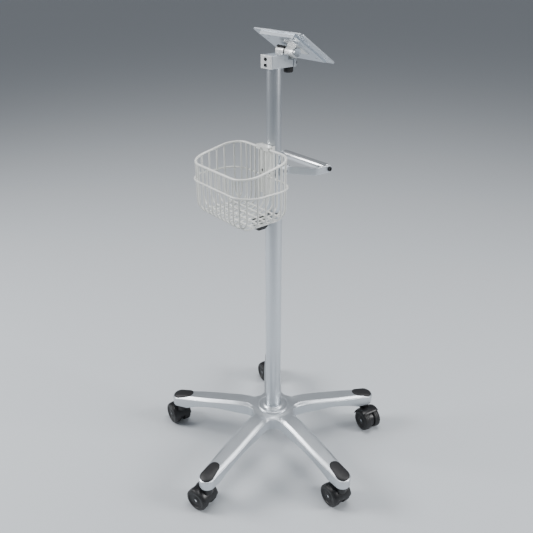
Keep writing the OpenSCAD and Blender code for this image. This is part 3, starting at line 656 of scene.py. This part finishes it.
ring_line = np.column_stack([ring_plan[:, 0], ring_plan[:, 1] + basket_centre,
                             np.full(len(ring_plan), ring_height)])
make_piece("basket_middle_ring", [swept(ring_line, (0, 0, 1), wire_radius, 14, closed=True)],
           "mast", wire_coating, ["basket_ring"], crease=60)


# ---------- handle ----------
# Two flat aluminium bars, painted silver and bent out from the clamp, carry a polished tube
# that the stand is pushed by. Their ends are rounded round the grip's screws.
grip_y = 94.0
grip_z = 784.5
grip_half = 71.0
bar_half_thick = 2.5
bar_half_high = 8.25


def handle_bar(side):
    """A flat bar along a bent line seen from above. Its height follows a circle round the grip's screw."""
    root = 23 + bar_half_thick
    bends = [(root, -4), (root, 20.6), (grip_half - 1 + bar_half_thick, 57.2),
             (grip_half + 0.5 + bar_half_thick, grip_y + bar_half_high)]
    line = rounded(bends, 9, 12)
    steps = np.r_[0, np.cumsum(np.linalg.norm(np.diff(line, axis=0), axis=1))]
    straight_end = steps[-1] - bar_half_high
    even = np.r_[np.linspace(0, straight_end, 40),
                 steps[-1] - bar_half_high * (1 - np.sin(np.linspace(0.1, 1.57, 14)))]
    line = np.stack([np.interp(even, steps, line[:, k]) for k in (0, 1)], -1)
    along = np.gradient(line, axis=0)
    along /= np.linalg.norm(along, axis=1)[:, None]
    outward = np.stack([along[:, 1], -along[:, 0]], -1)
    near_end = np.clip((even - straight_end) / bar_half_high, 0, 1)
    high = bar_half_high * np.sqrt(1 - near_end ** 2)
    angle = np.linspace(0, math.tau, 41)[:-1]
    round_off = 0.18
    across = np.sign(np.cos(angle)) * np.abs(np.cos(angle)) ** round_off * bar_half_thick
    up = np.sign(np.sin(angle)) * np.abs(np.sin(angle)) ** round_off
    bar = np.dstack([line[:, None, 0] + outward[:, None, 0] * across,
                     line[:, None, 1] + outward[:, None, 1] * across,
                     grip_z + high[:, None] * up])
    faces = [tuple(f) for f in grid_faces(*bar.shape[:2], round_columns=True)]
    faces.append(tuple(range(bar.shape[1])))
    return [(bar.reshape(-1, 3) * (side, 1, 1), faces)]


for side, word in ((-1, "left"), (1, "right")):
    make_piece(f"handle_bar_{word}", handle_bar(side), "mast", silver_paint,
               [f"handle_arm_{word}"], crease=40)
grip_radius = 9.75
grip_wall = 1.5
grip_profile = pipe_profile(grip_radius, grip_radius - grip_wall, -grip_half, grip_half, 0.6)
make_piece("grip", [lathe(grip_profile, (0, grip_y, grip_z), (1, 0, 0))],
           "mast", bright_steel, ["grip_tube"])


# ---------- head block ----------
# A solid aluminium block on top of the mast, milled with a step for the tilt head and painted
# silver. A plate closes its rear end, and a cap clamps the swivel post at its front.
white_paint = finish("white_paint", (0.78, 0.79, 0.79), (0.88, 0.89, 0.88), 0.25, 0.26, 0.08, 1200,
                     0.00006, coat=0.4)
block_box = [np.array(c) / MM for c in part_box("head_block")]
end_box = [np.array(c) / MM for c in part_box("head_end_plate")]
cap_box = [np.array(c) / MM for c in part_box("post_cap")]
mast_top = 997.0
step_y = 24.0
step_z = cap_box[1][2]


def extruded(outline, axis, low, high):
    """A closed outline in the two other axes, in X, Y, Z order, drawn out along axis from low to high."""
    outline = np.asarray(outline, float)
    count = len(outline)
    ends = [np.insert(outline, axis, level, axis=1) for level in (low, high)]
    k = np.arange(count)
    sides = np.stack([k, (k + 1) % count, count + (k + 1) % count, count + k], -1)
    caps = [tuple(range(count)), tuple(range(count, 2 * count))]
    return np.vstack(ends), [tuple(f) for f in sides] + caps


def box_shell(low, high):
    """A block between two corners."""
    (x0, y0, z0), (x1, y1, z1) = low, high
    return extruded([(x0, y0), (x1, y0), (x1, y1), (x0, y1)], 2, z0, z1)


block_back = end_box[1][1] + 0.4
block_front = block_box[1][1]
block_high = block_box[1][2]
block_outline = [(block_back, mast_top), (block_front, mast_top), (block_front, step_z),
                 (step_y, step_z), (step_y, block_high), (block_back, block_high)]
make_piece("top_block", [extruded(block_outline, 0, block_box[0][0], block_box[1][0])],
           "mast", silver_paint, ["head_block"], bevel=0.9)
make_piece("block_end_plate", [box_shell(*end_box)],
           "mast", white_paint, ["head_end_plate"], bevel=0.7)
make_piece("block_front_cap", [box_shell(*cap_box)],
           "mast", silver_paint, ["post_cap"], bevel=0.8)
swivel_y = 38.3
under_knob = rounded([(0, -1.5), (8.6, -1.5), (10, 0.6), (10, 9.6), (8.8, 11), (0, 11)], 0.8)
under_shell = lathe(under_knob, (0, swivel_y, mast_top - 11.3), sides=120, ripple=flutes(12, 0.08))
make_piece("post_knob", [under_shell],
           "post_knob", black_plastic, ["swivel_knob"], crease=45)


# ---------- tilt head ----------
# A white-painted metal hinge on a post: a fixed knuckle on its pedestal, a moving knuckle that carries
# the plates, and between them the ring of a small black lever, which is taken to lock the tilt.
tilt_z = 1025.0
barrel_radius = 10.5
plate_lean = math.radians(34)
hinge = np.array([0.0, swivel_y, tilt_z])


def knuckle(start, stop):
    """A barrel on the tilt axis with chamfered ends."""
    chamfer = barrel_radius - 1
    outline = [(axle_bore, start), (chamfer, start), (barrel_radius, start + 1),
               (barrel_radius, stop - 1), (chamfer, stop), (axle_bore, stop), (axle_bore, start)]
    return lathe(rounded(outline, 0.4), hinge, (1, 0, 0))


def leaned(shell):
    """A shell drawn in the plate's own frame, turned about the tilt axis into its place."""
    points, faces = shell
    points = np.array(points, float)
    c, s = math.cos(plate_lean), math.sin(plate_lean)
    y, z = points[:, 1], points[:, 2]
    return np.column_stack([points[:, 0], c * y + s * z, c * z - s * y]) + hinge, faces


post_outline = rounded([(0, -11), (5.4, -11), (6, -10.2), (6, 16), (0, 16)], 0.4)
disc_outline = rounded([(0, 0.3), (13.0, 0.3), (13.5, 0.8), (13.5, 1.6), (13.0, 2.1), (0, 2.1)], 0.3)
fixed_shells = [knuckle(-31, -5.3),
                lathe(post_outline, (0, swivel_y, mast_top), sides=48),
                lathe(disc_outline, (0, swivel_y, step_z), sides=72),
                box_shell((-14, swivel_y - 8, step_z + 0.4), (-5.3, swivel_y + 8, tilt_z))]
make_piece("fixed_knuckle", fixed_shells, "swivel", white_paint, ["swivel_head"], crease=40)
moving_shells = [knuckle(-2.7, 24), leaned(box_shell((-2.7, -8, 0), (24, 8, 11.6))),
                 leaned(box_shell((-2.7, -22, 10.6), (30, 26, 12.6)))]
make_piece("moving_knuckle", moving_shells, "tilting_plate", white_paint,
           ["tilt_saddle"], crease=40)


# ---------- fittings kept from the frame ----------
# Screws, plugs, pins, plates and small fittings have their true shape already, and take the finish
# of their trade: blackened screws, brushed plate, turned steel and moulded plastic.
dark_screw = finish("dark_screw", (0.030, 0.031, 0.034), (0.075, 0.077, 0.082), 0.85, 0.34, 0.10,
                    1600, 0.00005)
plate_aluminium = finish("plate_aluminium", (0.46, 0.50, 0.55), (0.66, 0.70, 0.74), 0.9, 0.33, 0.14,
                         800, 0.00008, stretch=(0.03, 1, 1))
by_slot = {"silver_paint": silver_paint, "anodised_aluminium": anodised, "wire_coating": wire_coating,
           "white_paint": white_paint, "plate_aluminium": plate_aluminium, "bright_steel": bright_steel,
           "dark_screw": dark_screw, "black_plastic": black_plastic, "caster_plastic": caster_plastic,
           "caster_wheel": caster_wheel}
for row in frame["record"]["subparts"]:
    kept = frame["nodes"][row["node"]]
    kept.data.materials.clear()
    kept.data.materials.append(by_slot[row["material_slot"]])
